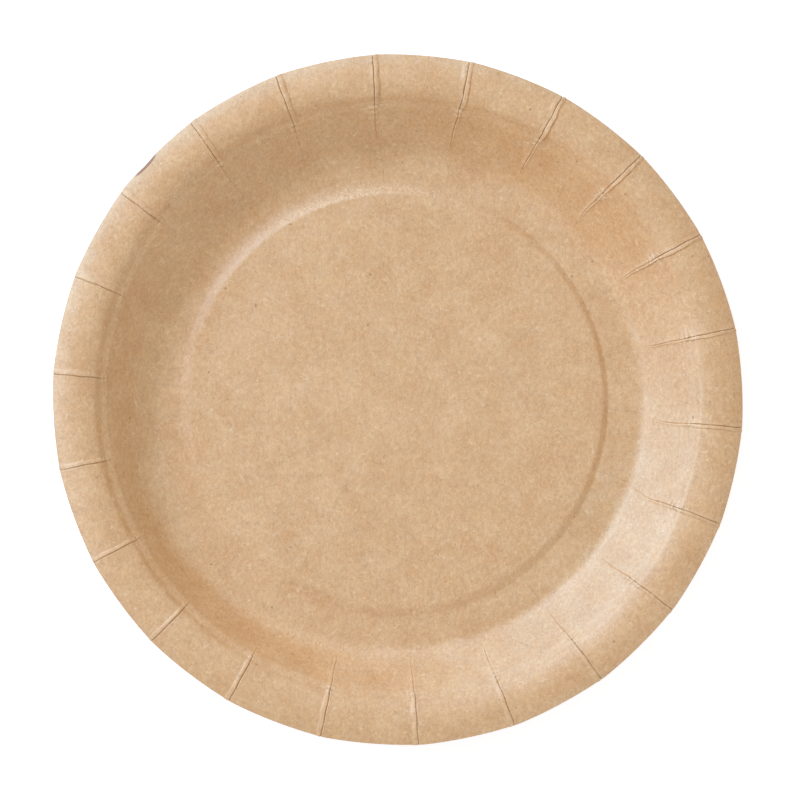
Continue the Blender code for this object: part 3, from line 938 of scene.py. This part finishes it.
def marks_and_light_group():
    """The marks of pressing and handling and the painted light, laid over a board's colour and height.

    The colour is multiplied by a tint that runs from greyed to browned with Stain, which also holds
    painted shade and sheen, broken up by soft patches. It is then mixed towards rubbed pale fibre
    by Wear, which also holds painted highlights, times a fine noise, and towards the painted gap
    shadow's brown inside the dent's gap. The height gains Wear times a coarser noise.
    """
    inputs = {"Vector": (VECTOR, None), "Color": (COLOUR, None), "Height": (VALUE, 0.0),
              "Wear": (VALUE, 0.0), "Stain": (VALUE, 0.0)}
    tree, given, end = new_group("marks_and_painted_light", inputs, {"Color": COLOUR, "Height": VALUE})
    place, wear = given["Vector"], given["Wear"]
    patches = noise(tree, place, 0.1, detail=3.0, roughness=0.6, shift=31.0)
    patches = ramp(tree, patches, 0.35, 0.65, 0.28, 0.72)
    browned = calc(tree, "ADD", calc(tree, "MULTIPLY", given["Stain"], patches), 0.5)
    tint = blend(tree, browned, GREYED_TINT, BROWNED_TINT)
    colour = blend(tree, 1.0, given["Color"], tint, "MULTIPLY")
    # Paler towards rubbed fibre by Wear, which also holds painted highlights.
    paled = noise(tree, place, 2.2, detail=3.0, roughness=0.7, shift=5.0)
    paled = calc(tree, "MULTIPLY", wear, ramp(tree, paled, 0.42, 0.6, 0.1, 0.62))
    colour = blend(tree, paled, colour, RUBBED_AND_HIGHLIGHT)
    # Painted shadow of the gap under the dented edge.
    colour = blend(tree, painted_gap_shadow(tree, place), colour, GAP_SHADOW_COLOUR)
    crumple = noise(tree, place, 0.9, detail=2.0, roughness=0.6, shift=9.0)
    crumple = calc(tree, "MULTIPLY", calc(tree, "MULTIPLY", wear, crumple), 22.0)
    fill(tree, end, Color=colour, Height=calc(tree, "ADD", given["Height"], crumple))
    return tree


def board_material(name, pulp, marks, base, cloud, grain, fibre, roughness, bump):
    """Kraft board: the pulp on object coordinates in millimetres, under the marks of pressing and wear and
    the painted light and shade.
    """
    material = bpy.data.materials.new(name)
    material.use_nodes = True
    tree = material.node_tree
    place = put(tree, "ShaderNodeTexCoord").outputs["Object"]
    place = put(tree, "ShaderNodeMapping", Vector=place, Scale=(1 / MM, 1 / MM, 1 / MM)).outputs[0]
    board = place_group(tree, pulp, Vector=place, Base=base, Cloud=cloud, Grain=grain, Fibre=fibre)
    # Rubbed wear with painted highlights, and colour shifts with painted shade and sheen, from the mesh.
    wear = put(tree, "ShaderNodeAttribute", {"attribute_name": "wear_and_highlight"}).outputs["Fac"]
    stain = put(tree, "ShaderNodeAttribute", {"attribute_name": "tint_shade_and_sheen"}).outputs["Fac"]
    given = {"Color": board["Color"], "Height": board["Height"], "Wear": wear, "Stain": stain}
    marked = place_group(tree, marks, Vector=place, **given)
    rough = calc(tree, "MULTIPLY", calc(tree, "SUBTRACT", board["Height"], 0.4), 0.2)
    raised = put(tree, "ShaderNodeBump", Strength=0.5, Distance=bump, Height=marked["Height"]).outputs[0]
    fill(tree, tree.nodes["Principled BSDF"], Base_Color=marked["Color"], Normal=raised, IOR=1.65,
         Roughness=calc(tree, "ADD", roughness, rough), Specular_IOR_Level=1.0)
    return material


def floor_material():
    """Pale floor that keeps a soft shadow, and is plain white to the camera and in reflections."""
    material = bpy.data.materials.new("floor")
    material.use_nodes = True
    tree = material.node_tree
    path = put(tree, "ShaderNodeLightPath").outputs
    seen = calc(tree, "MAXIMUM", path["Is Camera Ray"], path["Is Glossy Ray"])
    seen = calc(tree, "MAXIMUM", seen, path["Is Transmission Ray"])
    fill(tree, tree.nodes["Principled BSDF"], Base_Color=FLOOR_COLOUR, Roughness=0.9,
         Specular_IOR_Level=0.0, Emission_Color=FLOOR_GLOW_COLOUR,
         Emission_Strength=calc(tree, "MULTIPLY", seen, FLOOR_GLOW))
    return material


# ---------------------------------------------------------------- studio

def add_area_light(name, azimuth, elevation, sides, power, colour, target):
    """A wide soft lamp at an azimuth and elevation, turned to the target."""
    data = bpy.data.lights.new(name, "AREA")
    data.shape = "RECTANGLE"
    data.size, data.size_y = sides
    data.energy = power
    data.color = colour
    lamp = bpy.data.objects.new(name, data)
    flat = math.cos(elevation)
    away = Vector((math.cos(azimuth) * flat, math.sin(azimuth) * flat, math.sin(elevation)))
    lamp.location = target + away * LAMP_DISTANCE
    lamp.rotation_euler = (-away).to_track_quat("-Z", "Y").to_euler()
    bpy.context.scene.collection.objects.link(lamp)


def studio_world():
    """A warm even fill for the object, and plain white where the camera looks past the floor."""
    world = bpy.data.worlds.new("studio")
    world.use_nodes = True
    tree = world.node_tree
    warm = tree.nodes["Background"]
    fill(tree, warm, Color=FILL_COLOUR, Strength=FILL_STRENGTH)
    white = put(tree, "ShaderNodeBackground", Color=(1.0, 1.0, 1.0), Strength=1.0)
    path = put(tree, "ShaderNodeLightPath").outputs
    seen = calc(tree, "MAXIMUM", path["Is Camera Ray"], path["Is Transmission Ray"])
    mixed = put(tree, "ShaderNodeMixShader", i0=seen, i1=warm.outputs[0], i2=white.outputs[0])
    fill(tree, tree.nodes["World Output"], Surface=mixed.outputs[0])
    return world


def studio():
    """Two soft lamps on opposite sides, the fill, and a plain pale floor just under the plate."""
    target = Vector((0.0, 0.0, PLATE_HEIGHT / 2))
    add_area_light("key", KEY_AZIMUTH, KEY_ELEVATION, KEY_SIDES, KEY_POWER, KEY_COLOUR, target)
    add_area_light("bounce", BOUNCE_AZIMUTH, BOUNCE_ELEVATION, BOUNCE_SIDES, BOUNCE_POWER, BOUNCE_COLOUR,
                   target)
    bpy.context.scene.world = studio_world()
    half = FLOOR_HALF_SIDE
    corners = [(-half, -half, 0), (half, -half, 0), (half, half, 0), (-half, half, 0)]
    mesh = bpy.data.meshes.new("floor")
    mesh.from_pydata(corners, [], [(0, 1, 2, 3)])
    mesh.materials.append(floor_material())
    floor = bpy.data.objects.new("floor", mesh)
    floor.location.z = -FLOOR_DROP
    bpy.context.scene.collection.objects.link(floor)


def camera():
    """Almost straight above, leaning a little, with the plate's far side at the top of the frame."""
    data = bpy.data.cameras.new("camera")
    data.sensor_width = 36.0
    data.lens = data.sensor_width * CAMERA_DISTANCE / FRAME_WIDTH
    cam = bpy.data.objects.new("camera", data)
    target = Vector((0.0, CAMERA_AIM_Y, PLATE_HEIGHT - CAMERA_AIM_BELOW_TOP))
    flat = math.sin(CAMERA_LEAN)
    azimuth = CAMERA_LEAN_AZIMUTH
    back = Vector((math.cos(azimuth) * flat, math.sin(azimuth) * flat, math.cos(CAMERA_LEAN)))
    right = Vector((0.0, 1.0, 0.0)).cross(back).normalized()
    turned = Matrix((right, back.cross(right), back)).transposed().to_4x4()
    cam.matrix_world = Matrix.Translation(target + back * CAMERA_DISTANCE) @ turned
    bpy.context.scene.collection.objects.link(cam)
    bpy.context.scene.camera = cam


camera()
pulp = pulp_group(fibre_group(), speck_group())
marks = marks_and_light_group()
kraft = board_material("kraft_board", pulp, marks, KRAFT, cloud=1.0, grain=1.0, fibre=1.0,
                       roughness=0.6, bump=0.04 * MM)
cut = board_material("kraft_cut_edge", pulp, marks, CUT_KRAFT, cloud=0.6, grain=1.6, fibre=0.4,
                     roughness=0.8, bump=0.06 * MM)
plate = plate_piece(kraft, cut)
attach(plate, "root")
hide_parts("plate")
studio()
bpy.context.scene.view_settings.view_transform = "Standard"
